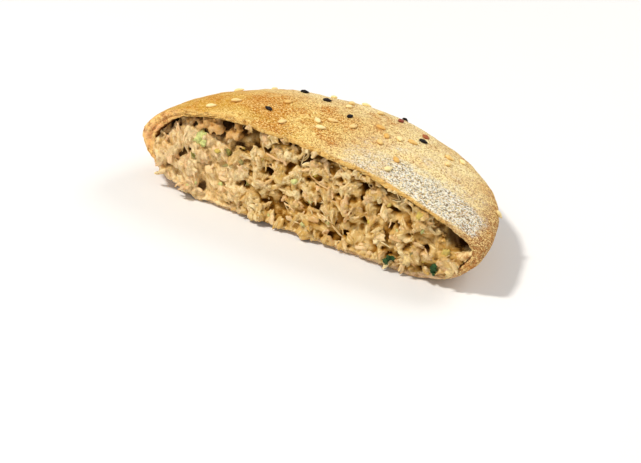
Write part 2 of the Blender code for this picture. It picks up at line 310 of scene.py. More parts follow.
# the baked crust
crust = {
    "around": 560,
    "outerRings": 112,
    "innerRings": 22,
    "lipRings": 14,
    "lipBulge": 0.0006,
    "foldDepth": 0.0011,
    "tornReach": 0.0007,
    "blisterSpacing": 0.011,
    "blisterHeight": 0.0006,
    "golden": (0.63, 0.335, 0.038, 1),
    "pale": (0.80, 0.53, 0.150, 1),
    "back": (0.94, 0.80, 0.47, 1),
    "toasted": (0.57, 0.205, 0.012, 1),
    "scorched": (0.20, 0.065, 0.012, 1),
    "rimShade": (0.45, 0.205, 0.075, 1),
    "light": (0.98, 0.80, 0.34, 1),
    "sand": (0.42, 0.23, 0.04, 1),
    "flour": (0.88, 0.86, 0.76, 1),
    "greyFlour": (0.14, 0.090, 0.030, 1),
    "cutTop": (0.74, 0.44, 0.12, 1),
    "cutLeft": (0.95, 0.58, 0.20, 1),
    "cutPink": (0.86, 0.45, 0.19, 1),
    "cutBase": (0.86, 0.60, 0.38, 1),
    "cutRight": (0.58, 0.31, 0.12, 1),
    "innerWallShade": (0.15, 0.050, 0.012, 1),
    # toasted patches near the cut: x, y back from the cut and radius in millimetres
    "patches": metres((
        (-30.6, 21.1, 4.0), (-22.4, 25.1, 3.0), (-14.7, 18.1, 4.5), (-9.0, 28.1, 4.0), (1.9, 8.1, 5.0),
        (-42.0, 12.0, 4.5), (5.0, 40.0, 6.0), (-30.0, 42.0, 6.0), (30.0, 46.0, 6.0),
    ), 3),
}


def blisterRelief(points):
    # a few raised bubbles where steam lifted the dough
    heights = []
    for p in points:
        distances, centres = noise.voronoi(Vector(p) / crust["blisterSpacing"] + Vector((1, 4, 2)))
        pick = noise.cell(centres[0] * 3.7)
        size = 0.20 + 0.14 * noise.cell(centres[0] * 5.1 + Vector((9, 1, 3)))
        lift = max(0.0, 1 - (distances[0] / size) ** 2)
        heights.append(crust["blisterHeight"] * lift**1.5 * (0.5 + 0.5 * pick) if pick > 0.35 else 0.0)
    return np.array(heights)


def flourCrease(points):
    # a low crease in the dough, along the back of the floured strip
    x, y, z = points.T
    along = smoothStep(0.012, 0.020, x) * (1 - smoothStep(0.034, 0.044, x))
    middle = 0.0175 + 0.22 * (x - 0.018) + 0.0012 * noiseAt(points, 0.008, (3, 3, 3))
    return along * bell((y - middle) / 0.0018) * (z > bread["rimHeight"])


def outerSkin():
    points = np.concatenate(skinRings(crust["outerRings"], 1.25, outside, crust["around"]))
    normals = surfaceNormals(points)
    firstRing = np.arange(len(points)) < crust["around"]
    offBase = np.clip(points[:, 2] / 0.003, 0, 1)
    fine = 0.00022 * noiseAt(points, 0.0065, (4, 4, 9)) + 0.00012 * noiseAt(points, 0.0026, (8, 2, 1))
    fine += 0.00006 * noiseAt(points, 0.0011, (2, 7, 5))
    crackHeight = bread["seamHeight"] + 0.0012 * noiseAt(points, 0.009, (5, 5, 5))
    crack = bell((points[:, 2] - crackHeight) / 0.0006)
    crack = crack * np.clip(0.5 + 1.5 * noiseAt(points, 0.006, (1, 8, 2)), 0, 1)
    crease = flourCrease(points)
    rise = broadSwell(points, normals)
    rise += (fine + blisterRelief(points) - 0.0004 * crack - 0.0003 * crease) * offBase
    moved = points + normals * rise[:, None] * np.where(firstRing[:, None], (1, 0, 1), (1, 1, 1))
    moved[:, 2] = np.maximum(moved[:, 2], 0)
    moved[:, 1] += lipShift(points)
    return moved, crease


def tornPart(points):
    # 1 where the lip was torn and folded in: the upper left, and the right end
    left = smoothStep(-0.008, -0.024, points[:, 0]) * smoothStep(0.008, 0.016, points[:, 2])
    return np.maximum(left, smoothStep(0.044, 0.053, points[:, 0]))


def tearLip(inner):
    # the inner edge of the lip is ragged, and hangs in over the filling where it was torn
    fade = tornPart(inner) * np.exp(-np.maximum(inner[:, 1], 0) / 0.0022)
    ragged = noiseAt(inner, 0.0030, (7, 2, 5)) + 0.6 * noiseAt(inner, 0.0012, (3, 8, 1))
    reach = crust["tornReach"] * fade * np.clip(ragged, -0.4, 1.2)
    toMiddle = cutMiddle - inner * np.array((1, 0, 1))
    toMiddle /= np.maximum(np.linalg.norm(toMiddle, axis=1), 1e-6)[:, None]
    return inner + toMiddle * reach[:, None]


def lipBetween(outerLip, innerLip):
    # the cut through the dough: rough crumb, and smooth with a fold where it was rolled in at the left
    rings = []
    for i in range(1, crust["lipRings"]):
        t = i / crust["lipRings"]
        ring = outerLip * (1 - t) + innerLip * t
        rolled = smoothStep(0.044, 0.056, -ring[:, 0])
        crumbs = 0.00032 * noiseAt(ring, 0.0012, (i * 0.3, 3, 1)) + 0.00018 * noiseAt(ring, 0.0006, (1, i, 7))
        bulge = crust["lipBulge"] * math.sin(math.pi * t) ** 0.6 * (1 + 0.9 * rolled)
        foldLine = 0.62 + 0.12 * noiseAt(ring, 0.007, (2, 2, 2))
        rolledFold = crust["foldDepth"] * rolled * bell((t - foldLine) / 0.10)
        wrinkles = 0.00055 * noiseAt(ring, 0.0021, (4, 0.4 * i, 6)) * np.maximum(rolled, tornPart(ring))
        ring[:, 1] += rolledFold + wrinkles - bulge - crumbs * (1 - 0.6 * rolled)
        rings.append(ring)
    return rings


def toastField(points):
    field = np.zeros(len(points))
    wander = points + 0.0016 * np.stack([noiseAt(points, 0.005, (k, 2 * k, 5)) for k in range(3)], axis=1)
    for x, y, radius in crust["patches"]:
        field = np.maximum(field, bell(np.hypot(wander[:, 0] - x, wander[:, 1] - y) / radius))
    return field * (points[:, 2] > bread["rimHeight"])


def flourField(points):
    # dense along the right of the cut, and a haze further back
    x, y = points[:, 0], points[:, 1] + 0.0025 * noiseAt(points, 0.007, (8, 1, 6))
    ends = smoothStep(0.012, 0.032, x) * (1 - smoothStep(0.053, 0.060, x))
    dense = ends * (1 - smoothStep(0.009, 0.021, y)) * smoothStep(0.0002, 0.0014, y)
    haze = 0.45 * smoothStep(-0.006, 0.020, x) * (1 - smoothStep(0.050, 0.058, x)) * bell(y / 0.030)
    return np.maximum(dense, haze) * smoothStep(0.013, 0.019, points[:, 2])


def crustMaterial():
    newMaterial("bakedCrustFinish")
    x, y, z = addNode("ShaderNodeSeparateXYZ", Vector=objectPlace()).outputs
    inner, flour = layer("inner"), layer("flour")
    mottled = grain(260, 5, 0.65)
    uneven = calc("SUBTRACT", mottled, 0.5)
    sandy = plus(times(cells(3300), 0.40), times(grain(1300, 3, 0.7), 0.60))
    # painted light: the crown is painted paler towards the back and the right, where the light falls on it
    backward = ranged(y, bread["cutPlaneY"] + 0.016, bread["cutPlaneY"] + 0.048)
    paler = times(calc("MAXIMUM", backward, ranged(x, -0.010, 0.026)), ranged(z, 0.014, 0.024))
    cloudy = plus(grain(75, 4, 0.6, 0.4), times(mottled, 0.3))
    clouds = times(ranged(cloudy, 0.57, 0.79, 0, 0.72), ranged(paler, 0, 1, 1, 0.5))
    patches = times(layer("toast"), ranged(mottled, 0.34, 0.60))
    rougher = ranged(x, -0.044, -0.010, 0.55, 1)
    colour = painted(
        blend(ranged(grain(60, 3, 0.5), 0.38, 0.70), crust["golden"], crust["pale"]),
        crust,
        # painted light: paler towards the back and the right
        (times(paler, 0.94), "back"),
        # painted shade: the right end is darker, where it turns from the light; the base is darker as well
        (ranged(plus(x, times(uneven, 0.030)), 0.046, 0.058, 0, 0.85), "rimShade"),
        (times(ranged(z, 0.012, 0.002), 0.35), "rimShade"),
        (times(patches, 0.88), "toasted"),
        (clouds, "toasted"),
        (ranged(grain(720, 3), 0.56, 0.74, 0, 0.40), "toasted"),
        (ranged(grain(410, 2, 0.5), 0.70, 0.80, 0, 0.5), "scorched"),
        (times(ranged(sandy, 0.48, 0.31), rougher), "sand", "MULTIPLY"),
        (times(ranged(sandy, 0.53, 0.68, 0, 0.85), rougher), "light"),
    )
    # flour: white and grey specks where it lies
    cloud = calc("ADD", times(flour, 1.15), times(uneven, 1.3), True)
    specks = ranged(cells(2600), 0.05, 0.60, 0.15, 1)
    cover = times(times(ranged(cloud, 0.10, 0.80), specks), ranged(flour, 0.02, 0.25))
    clumps = plus(times(cells(2400), 0.45), times(grain(1100, 4, 0.8), 0.55))
    powder = blend(ranged(clumps, 0.34, 0.56), crust["greyFlour"], crust["flour"])
    colour = blend(times(cover, 0.95), colour, powder)
    # the cut edge shows the crumb, which differs round the section
    left = blend(ranged(grain(340, 3), 0.40, 0.62), crust["cutLeft"], crust["cutPink"])
    cut = painted(
        blend(ranged(x, -0.046, -0.054), crust["cutTop"], left),
        crust,
        (ranged(x, 0.045, 0.056), "cutRight"),
        (times(ranged(z, 0.010, 0.0055), 0.9), "cutBase"),
        (ranged(grain(520, 4, 0.65), 0.52, 0.38, 0, 0.70), "sand", "MULTIPLY"),
        (ranged(sandy, 0.53, 0.68, 0, 0.50), "light"),
    )
    colour = blend(times(layer("lip"), ranged(x, 0.046, 0.057, 1, 0.35)), colour, cut)
    return finished(
        # painted shade: the inside of the crust is painted near black-brown, as it lies in shade
        blend(inner, colour, crust["innerWallShade"]),
        ranged(mottled, 0.3, 0.7, 0.66, 0.88),
        Specular_IOR_Level=ranged(inner, 0, 1, 0.15, 0.02),
        Subsurface_Weight=0.05,
        Subsurface_Radius=(0.0016, 0.0008, 0.0003),
        Subsurface_Scale=1.0,
        Normal=bumps(grain(2600, 3), 0.00010, 0.8, Normal=bumps(grain(900, 5, 0.65), 0.00028, 0.8)),
    )


def buildCrust():
    around = crust["around"]
    outer, crease = outerSkin()
    inner = tearLip(np.concatenate(skinRings(crust["innerRings"], 1.1, inside, around)))
    inner[:, 1] += lipShift(inner)
    for skin in (outer, inner):  # the knife's edge wavers a little
        flat = skin * np.array((1, 0, 1))
        waver = 0.0005 * noiseAt(flat, 0.0035, (6, 1, 3)) + 0.00028 * noiseAt(flat, 0.0014, (2, 2, 8))
        skin[:, 1] += waver * np.exp(-np.maximum(skin[:, 1], 0) / 0.003)
    lip = lipBetween(outer[:around], inner[:around])
    backFirst = outer.reshape(-1, around, 3)[::-1].reshape(-1, 3)
    points = np.concatenate([backPole(outside), backFirst] + lip + [inner, backPole(inside)])
    faces = ringFaces(crust["outerRings"] + len(lip) + crust["innerRings"], around, True)
    item = newMesh("bakedCrust", points, faces, "bread_crust", "bread_crust")
    lipStart = 1 + crust["outerRings"] * around
    lipEnd = lipStart + len(lip) * around
    lipValue, innerValue, creaseValue = np.zeros((3, len(points)))
    lipValue[lipStart - around : lipStart] = 0.35
    lipValue[lipStart:lipEnd] = 1
    innerValue[lipEnd:] = 1
    creaseValue[1:lipStart] = crease.reshape(-1, around)[::-1].ravel()
    flour = flourField(points) * (1 - 0.7 * creaseValue)
    dress(item, crustMaterial(), lip=lipValue, inner=innerValue, toast=toastField(points), flour=flour)


buildCrust()
print("crust built")

# the tuna filling: crags of fibre bundles bound with mayonnaise, with dark gaps between them
filling = {
    "bulge": 0.0004,
    "lean": 0.14,
    "cragSize": 0.0064,
    "cragDepth": 0.0048,
    "cragEdge": 0.62,
    "grainSize": 0.0030,
    "grainDepth": 0.0008,
    "clearance": 0.0004,
    "slabDepth": 0.0100,
    "backCut": 0.0088,
    "voxel": 0.00035,
    "clotSize": 0.0034,
    "clotDepth": 0.0011,
    "strandStretch": 0.80,
    "pitSpacing": 0.0036,
    "pitRadius": 0.00075,
    "pitDepth": 0.0025,
    "overhang": 0.0014,
    "overhangFall": 0.007,
    "overhangOnRight": 0.45,
    "leftOverhang": 0.0018,
    "leftSag": 0.0010,
    "leftStart": 0.45,
    "leftWidth": 0.40,
    "overhangSpikes": 40,
    "fringe": 46,
    "flakes": 60,
    "flakeSpacing": 0.0045,
    "flakeLength": (0.0048, 0.0085),
    "flakeWidth": (0.0026, 0.0040),
    "flakeThickness": (0.0018, 0.0028),
    "flakeSeed": 11,
    "bundles": 400,
    "lumps": 320,
    "brownLumps": 150,
    "shreds": 90,
    "shapeSeed": 3,
    "shredSeed": 21,
    "cream": (1.0, 0.80, 0.43, 1),
    "tan": (0.66, 0.39, 0.090, 1),
    "pink": (0.92, 0.56, 0.30, 1),
    # painted shade: the next three colours darken the crevices, pits and deep gaps of the face
    "shade": (0.89, 0.77, 0.49, 1),
    "crevice": (0.27, 0.105, 0.006, 1),
    "gap": (0.05, 0.014, 0.002, 1),
    "browned": (0.58, 0.28, 0.055, 1),
}
# hollows in the cut face: x, z, half length, half height and depth in millimetres
hollows = metres((
    (-39.8, 29.0, 15.0, 4.2, 6.0), (-52.5, 22.5, 3.0, 3.6, 5.5), (-33.5, 28.5, 5.0, 3.8, 3.5),
    (-4.5, 32.0, 10.0, 2.2, 2.6), (7.0, 30.5, 6.0, 2.0, 2.8), (-14.7, 18.3, 2.4, 1.9, 3.0),
    (-7.5, 9.0, 2.8, 2.4, 3.4), (20.0, 24.0, 3.2, 2.2, 3.0), (30.0, 25.0, 4.2, 1.8, 2.8),
    (53.0, 18.5, 6.2, 5.6, 9.5),
), 5)
# narrow dark gaps, finer than the solid has, given in the same way
gaps = metres((
    (-53.0, 22.1, 1.3, 1.7, 4.0), (-45.0, 28.8, 3.4, 1.8, 5.0), (-31.8, 29.2, 2.2, 2.3, 5.0),
    (-5.8, 32.3, 2.6, 1.0, 5.0), (4.8, 30.7, 2.2, 1.1, 5.0), (-16.0, 18.3, 1.5, 1.2, 4.0),
    (18.5, 23.9, 1.4, 1.0, 3.5), (28.8, 25.4, 1.8, 1.0, 4.0), (-7.5, 8.8, 1.6, 1.4, 4.0),
    (21.1, 12.9, 1.4, 1.1, 3.5), (14.8, 5.8, 1.3, 1.0, 3.5), (30.0, 19.5, 1.2, 0.9, 3.0),
    (-23.0, 12.0, 1.2, 1.0, 3.0), (42.0, 10.5, 1.2, 0.9, 3.0), (48.8, 21.7, 2.6, 1.3, 4.0),
    (53.2, 19.2, 2.8, 2.4, 6.5),
), 5)
# long strands on the cut face: x, z and length in millimetres, turn and rise out of the face in degrees
strands = metres((
    (-53.0, 6.0, 8.5, 35, 8), (-48.5, 21.5, 7.5, -65, 10), (-44.0, 4.5, 6.5, 40, 12),
    (-10.0, 25.0, 9.0, -50, 8), (8.0, 4.5, 6.0, 60, 12), (35.0, 16.5, 8.0, -55, 12),
    (31.0, 4.0, 8.5, 12, 10),
), 3)


def cragAt(x, z):
    # 0 at the middle of a crag and about 1 in the deepest crevice, and a number for the crag
    distances, centres = noise.voronoi(Vector((x, 0, z)) / filling["cragSize"] + Vector((2, 5, 8)))
    return distances[0], noise.cell(centres[0] * 3.3)


def hollowAt(x, z, places):
    deepest = 0
    for centreX, centreZ, halfLength, halfHeight, depth in places:
        reach = ((x - centreX) / halfLength) ** 2 + ((z - centreZ) / halfHeight) ** 2
        deepest = max(deepest, depth * math.exp(-reach))
    return deepest


def lowness(z):
    return np.clip((bread["rimHeight"] - z) / filling["overhangFall"], 0, 1)


def leftLowness(x, z):
    # 1 at the lower left of the cut, where the filling sags the most
    left = np.clip((-x / bread["radius"] - filling["leftStart"]) / filling["leftWidth"], 0, 1)
    return left * lowness(z)


def faceRelief(x, z):
    # the cut face as the solid has it, as y
    crags = filling["cragDepth"] * (cragAt(x, z)[0] - 0.42)
    small = filling["grainDepth"] * noise.noise(Vector((x, 0, z)) / filling["grainSize"])
    lean = filling["lean"] * (z - bread["rimHeight"])
    forward = filling["bulge"] + filling["leftSag"] * leftLowness(x, z)
    return lean - forward + crags + small + hollowAt(x, z, hollows)


def frontAt(x, z):
    # the face with small clots and the narrow gaps, kept in front of the slab's back
    distances, _ = noise.voronoi(Vector((x, 7, z)) / filling["clotSize"])
    clots = filling["clotDepth"] * (distances[0] - 0.40)
    return min(faceRelief(x, z) + clots + hollowAt(x, z, gaps), filling["backCut"] - 0.0010)


def roomLeft(x, z):
    # below 1 within the inside of the crust
    return float(fullness(np.array([(x, 0.0, z)]), inside)[0])


def pointing(turn, rise):
    # the way at a turn in the face and a rise out of it, in degrees
    turn, rise = math.radians(turn), math.radians(rise)
    return np.array((math.cos(turn) * math.cos(rise), -math.sin(rise), math.sin(turn) * math.cos(rise)))


def fibreTurn(x, number):
    # each crag has its own, and towards the left end the fibres hang down to the right
    left = smoothStep(-0.012, -0.032, x)
    return 180 * number * (1 - left) + (112 + 25 * number) * left


class Heap:
    # collects closed shapes into one mesh, with the way of the fibres and three values for each point

    def __init__(self):
        self.points, self.faces, self.ways, self.values, self.count = [], [], [], [], 0

    def add(self, points, faces, tone, pink=0.0, brown=0.0, way=(1, 0, 0)):
        self.points.append(points)
        self.faces.extend([tuple(i + self.count for i in face) for face in faces])
        self.ways.append(np.full((len(points), 3), way))
        self.values.append(np.full((len(points), 3), (tone, pink, brown)))
        self.count += len(points)

    def mesh(self):
        return np.concatenate(self.points), self.faces


def tube(centres, radii, sides, flatness=1.0, lean=0.0):
    # a closed tapering tube round a line of points
    centres = np.asarray(centres)
    along = unit(np.gradient(centres, axis=0))
    side = unit(np.cross(along, (0.13, 0.97, 0.21)))
    other = np.cross(along, side)
    turns = roundTurns(sides) + lean
    points = [centres[0]]
    for i in range(1, len(centres) - 1):
        for t in turns:
            across = side[i] * math.cos(t) + other[i] * math.sin(t) * flatness
            points.append(centres[i] + radii[i] * across)
    points.append(centres[-1])
    return np.array(points), ringFaces(len(centres) - 2, sides, True)


def fibre(draw, middle, direction, length, radius, rings=8, curl=0.12, flatness=1.0):
    # one strand: it bends, wavers and thins towards both ends
    direction = direction / np.linalg.norm(direction)
    bendWay = np.cross(direction, [draw.uniform(-1, 1) for _ in range(3)])
    bendWay /= np.linalg.norm(bendWay)
    bend, wave = draw.uniform(-curl, curl) * length, draw.uniform(0, 9)
    centres, radii = [], []
    for i in range(rings):
        t = i / (rings - 1)
        wobble = np.array([noise.noise(Vector((t * 2.2, wave + k * 3, k))) for k in range(3)])
        straight = middle + direction * (t - 0.5) * length
        centres.append(straight + bendWay * bend * (1 - (2 * t - 1) ** 2) + wobble * length * 0.05)
        radii.append(radius * (0.25 + 0.75 * math.sin(math.pi * min(1, 0.08 + 0.84 * t)) ** 0.7))
    return tube(centres, radii, 6, flatness, draw.uniform(0, 1))


def addBundle(heap, draw, middle, turn, rise, size):
    # a flake of fish: fibres side by side, each a little longer or shorter
    length, width, thickness = size
    direction = pointing(turn, rise)
    turn = math.radians(turn)
    across = np.array((-math.sin(turn), draw.uniform(-0.5, 0.5), math.cos(turn)))
    across /= np.linalg.norm(across)
    outward = np.cross(direction, across)
    radius = thickness * 0.30
    count = max(2, round(width / (radius * 1.7)))
    tone, pink = draw.random(), draw.random() ** 2.5
    for i in range(count):
        shift = (i / (count - 1) - 0.5) * (width - 2 * radius)
        lift = outward * (draw.uniform(-0.35, 0.35) * thickness * 0.5 - abs(shift) * 0.25)
        slide = direction * draw.uniform(-0.18, 0.18) * length
        splay = direction + across * shift * draw.uniform(10, 90)
        place = middle + across * shift + lift + slide
        shape = fibre(draw, place, splay, length * draw.uniform(0.65, 1.0), radius * draw.uniform(0.8, 1.3))
        heap.add(*shape, tone + draw.uniform(-0.12, 0.12), pink, way=splay / np.linalg.norm(splay))


def addLump(heap, draw, middle, size, tone, brown=0.0, rough=0.45, way=(1, 0, 0)):
    # a soft clot of mayonnaise and crumbled fish
    shift = Vector([draw.uniform(0, 50) for _ in range(3)])
    squash = [draw.uniform(0.7, 1.25) for _ in range(3)]
    points = []
    for up, t in ballAngles(8, 11):
        out = Vector((math.sin(up) * math.cos(t), math.sin(up) * math.sin(t), math.cos(up)))
        uneven = noise.noise(out * 1.6 + shift) + 0.5 * noise.noise(out * 3.4 + shift)
        reach = size * (1 + rough * uneven)
        points.append([middle[a] + out[a] * reach * squash[a] for a in range(3)])
    heap.add(np.array(points), ringFaces(6, 11), tone, 0, brown, way)


def overhangAt(point):
    right = np.clip(2 * point[0] / bread["radius"], 0, 1)
    sag = filling["overhang"] * lowness(point[2]) * (1 - (1 - filling["overhangOnRight"]) * right)
    return sag + filling["leftOverhang"] * leftLowness(point[0], point[2])


def addSlab(heap):
    # the mass under the bundles: rings from the middle of the section out to the crust
    around, rings = 320, 66
    rim = surfacePoints(cutRays(roundTurns(around)), [depth + filling["clearance"] for depth in inside])
    outward = surfaceNormals(rim)
    points = [[0, frontAt(0, bread["rimHeight"]), bread["rimHeight"]]]
    for i in range(1, rings + 1):
        for p in cutMiddle + (rim - cutMiddle) * (i / rings):
            points.append([p[0], frontAt(p[0], p[2]), p[2]])
    # low down it sags out over the lower edge of the crust, then turns back under itself
    turned = ((0.5, 0.0024), (1.0, 0.0016), (0.9, 0.0006), (0, -0.0004))
    for spread, forward in turned:
        for p, way in zip(rim, outward):
            sag = overhangAt(p) * np.clip(0.8 + 0.9 * noise.noise(Vector(p) / 0.0045), 0, 1.3)
            share = min(1, sag / (0.5 * filling["overhang"]))
            y = frontAt(p[0], p[2]) * (1 - share) - forward * share
            points.append([p[0] + way[0] * sag * spread, y, p[2] + way[2] * sag * spread])
    for p in cutMiddle + (rim - cutMiddle) * 0.97:
        points.append([p[0], filling["slabDepth"], p[2]])
    points.append([0, filling["slabDepth"], bread["rimHeight"]])
    ways = [pointing(fibreTurn(p[0], cragAt(p[0], p[2])[1]), 0) for p in points]
    heap.add(np.array(points), ringFaces(rings + len(turned) + 1, around), 0.5, way=ways)


def addStrandsAndFlakes(heap, shape):
    # the same strands and flakes as the solid, each as a bundle of fibres
    draw = random.Random(filling["flakeSeed"])
    for x, z, length, turn, rise in strands:
        middle = np.array((x, faceRelief(x, z) - 0.00065, z))
        addBundle(heap, shape, middle, turn, rise, (length, 0.0016, 0.0014))
    placed = []
    while len(placed) < filling["flakes"]:
        x, z = draw.uniform(-0.058, 0.056), draw.uniform(0.0035, 0.031)
        crowded = any(math.hypot(x - a, z - b) < filling["flakeSpacing"] for a, b in placed)
        if roomLeft(x, z) < 0.93 and cragAt(x, z)[0] < filling["cragEdge"] and not crowded:
            placed.append((x, z))
            size = [draw.uniform(*filling[key]) for key in ("flakeLength", "flakeWidth", "flakeThickness")]
            y = faceRelief(x, z) + draw.uniform(-0.0006, 0.0006)
            turn, rise = draw.uniform(0, 180), draw.uniform(-16, 16)
            draw.uniform(0, 180)  # the solid draws one more value for each flake
            addBundle(heap, shape, np.array((x, y, z)), turn, rise, size)


def freePlace(shape, edge, lowest=0.0025):
    # a place on a crag, off the crevices and the gaps
    while True:
        x, z = shape.uniform(-0.058, 0.057), shape.uniform(lowest, 0.0325)
        crag, number = cragAt(x, z)
        if roomLeft(x, z) < 0.95 and crag < edge and hollowAt(x, z, gaps) < 0.0009:
            if hollowAt(x, z, hollows[-1:]) < 0.003:
                return x, z, crag, fibreTurn(x, number), number


def addClots(heap, shape):
    for _ in range(filling["lumps"]):
        x, z, crag, turn, number = freePlace(shape, 0.55)
        size = shape.uniform(0.0008, 0.0022) * (1.15 - 0.5 * crag)
        middle = (x, frontAt(x, z) + size * shape.uniform(0.2, 0.7), z)
        tone = 0.45 + 0.4 * number + shape.uniform(-0.1, 0.15)
        addLump(heap, shape, middle, size, tone, way=pointing(turn, 0))
    for _ in range(filling["bundles"]):
        x, z, _, turn, _ = freePlace(shape, 0.60)
        turn += shape.uniform(-35, 35)
        size = [shape.uniform(*ends) for ends in ((0.0030, 0.0066), (0.0013, 0.0026), (0.0010, 0.0017))]
        middle = np.array((x, frontAt(x, z) + shape.uniform(-0.0009, 0.0002), z))
        addBundle(heap, shape, middle, turn, shape.uniform(-32, 32), size)


def addBrownedCrumb(heap, shape):
    # crumb that browned in the gap under the torn upper left of the lip
    for _ in range(filling["brownLumps"]):
        x, z = shape.uniform(-0.0470, -0.0270), shape.uniform(0.0252, 0.0305)
        if roomLeft(x, z) < 0.97 and hollowAt(x, z, gaps) < 0.0012:
            size = shape.uniform(0.0005, 0.0011)
            y = shape.uniform(-0.0002, 0.0030)
            addLump(heap, shape, (x, y, z), size, shape.random(), shape.uniform(0.65, 1.15), 0.9)


def edgePlaces(shape, low, high, count):
    # places along the inner edge of the crust, with the way outward and its turn in degrees
    turns = [math.radians(shape.uniform(low, high)) for _ in range(count)]
    edge = surfacePoints(cutRays(np.array(turns)), inside)
    ways = surfaceNormals(edge)
    return zip(edge, ways, np.degrees(np.arctan2(ways[:, 2], ways[:, 0])))


def addSpikes(heap, shape):
    # ends of flakes that stick out of the sagging lower edge
    for point, way, turn in edgePlaces(shape, 192, 342, filling["overhangSpikes"]):
        middle = point + way * (overhangAt(point) - 0.0018)
        middle[1] = -0.0010 - shape.uniform(0.0002, 0.0012)
        turn += shape.uniform(-50, 50)
        size = (shape.uniform(0.0030, 0.0056), shape.uniform(0.0010, 0.0020), 0.0012)
        addBundle(heap, shape, middle, turn, shape.uniform(-5, 22), size)


def addFringe(heap, shape):
    # flakes pressed against the upper lip, over parts of its inner edge
    for point, way, turn in edgePlaces(shape, 20, 150, filling["fringe"]):
        middle = point + way * shape.uniform(-0.0005, 0.0003)
        middle[1] = -0.0008 - shape.uniform(0, 0.0005)
        turn += shape.uniform(-70, 70)
        size = (shape.uniform(0.0022, 0.0040), shape.uniform(0.0009, 0.0016), 0.0010)
        if max(hollowAt(point[0], point[2], hollows), 3 * hollowAt(point[0], point[2], gaps)) < 0.0020:
            addBundle(heap, shape, middle, turn, shape.uniform(-10, 20), size)


def meltTogether(item):
    # the heap becomes one skin, is softened a little, and its hidden back is cut flat
    remesh = item.modifiers.new("melt", "REMESH")
    remesh.mode = "VOXEL"
    remesh.voxel_size = filling["voxel"]
    soften = item.modifiers.new("soften", "SMOOTH")
    soften.factor = 0.5
    soften.iterations = 2
    bpy.context.view_layer.update()
    mesh = bpy.data.meshes.new_from_object(item.evaluated_get(bpy.context.evaluated_depsgraph_get()))
    item.modifiers.clear()
    old = item.data
    item.data = mesh
    bpy.data.meshes.remove(old)
    bm = bmesh.new()
    bm.from_mesh(mesh)
    plane = toFrame((0, filling["backCut"], 0))
    bmesh.ops.bisect_plane(bm, geom=bm.verts[:] + bm.edges[:] + bm.faces[:], dist=1e-6,
                           plane_co=plane, plane_no=(0, 1, 0), clear_outer=True)
    bmesh.ops.holes_fill(bm, edges=[edge for edge in bm.edges if edge.is_boundary])
    bm.to_mesh(mesh)
    bm.free()


def readPoints(mesh, kind="co"):
    values = np.empty(len(mesh.vertices) * 3)
    mesh.vertices.foreach_get(kind, values)
    return values.reshape(-1, 3)


def keepInside(points):
    # behind the cut plane the face stays within the crust, and nothing reaches the table
    depths = [depth + 0.0001 for depth in inside]
    for _ in range(12):
        out = (fullness(points, depths) > 1) & (points[:, 1] > -0.0004)
        points[out, 0] *= 0.99
        points[out, 2] += (bread["rimHeight"] - points[out, 2]) * 0.02
    points[:, 2] = np.maximum(points[:, 2], 0.0006)
    return points


def hollowness(mesh, points):
    # how deep a point lies among its neighbours, from a few rounds of averaging
    edges = np.empty(len(mesh.edges) * 2, dtype=np.int64)
    mesh.edges.foreach_get("vertices", edges)
    a, b = edges.reshape(-1, 2).T
    normals = readPoints(mesh, "normal")
    count = np.bincount(a, minlength=len(points)) + np.bincount(b, minlength=len(points))
    result = np.zeros(len(points))
    level = points.copy()
    for step in range(1, 17):
        total = np.zeros_like(level)
        for axis in range(3):
            total[:, axis] = np.bincount(a, level[b, axis], len(points))
            total[:, axis] += np.bincount(b, level[a, axis], len(points))
        level = total / count[:, None]
        if step in (4, 16):
            result += ((level - points) * normals).sum(axis=1) * (1.0 if step == 4 else 0.6)
    return result


def pitDepth(points):
    # how far a point lies behind the average of the cut face round it
    cell, reach = 0.0004, 5
    column = ((points[:, 0] + 0.068) / cell).astype(int)
    row = ((points[:, 2] + 0.006) / cell).astype(int)
    front = np.full((360, 130), 1.0)
    np.minimum.at(front, (column, row), points[:, 1])
    known = (front < 0.5).astype(float)
    total, weight = np.zeros_like(front), np.zeros_like(front)
    for i in range(-reach, reach + 1):
        for j in range(-reach, reach + 1):
            total += np.roll(front * known, (i, j), (0, 1))
            weight += np.roll(known, (i, j), (0, 1))
    return points[:, 1] - (total / np.maximum(weight, 1))[column, row]


def carvedPits(points):
    # how far small pits, more of them to the right, and the narrow gaps reach into the melted face
    depths = []
    for x, y, z in points:
        wander = 0.0007 * noise.noise(Vector((x, 3, z)) / 0.0014)
        spot = Vector(((x + wander) * 0.8, 0, z - wander)) / filling["pitSpacing"]
        distances, centres = noise.voronoi(spot + Vector((4, 1, 6)))
        pick = 0.5 + 0.5 * noise.cell(centres[0] * 4.3)
        wanted = 0.25 + 0.55 * smoothStep(-0.030, 0.010, x) - 0.20 * smoothStep(0.008, 0.002, z)
        away = distances[0] * filling["pitSpacing"] / (filling["pitRadius"] * (0.7 + 0.7 * pick))
        pit = filling["pitDepth"] * math.exp(-(away**2)) * (0.5 + pick) if pick < wanted else 0
        depths.append(max(pit, 0.6 * hollowAt(x + wander, z - 1.4 * wander, gaps)))
    return np.array(depths) * (1 - smoothStep(0.003, 0.006, points[:, 1]))


def stretched(points, ways):
    # places squeezed along the fibres, so that a pattern on them runs in streaks
    along = (points * ways).sum(axis=1)
    return points - filling["strandStretch"] * ways * along[:, None]


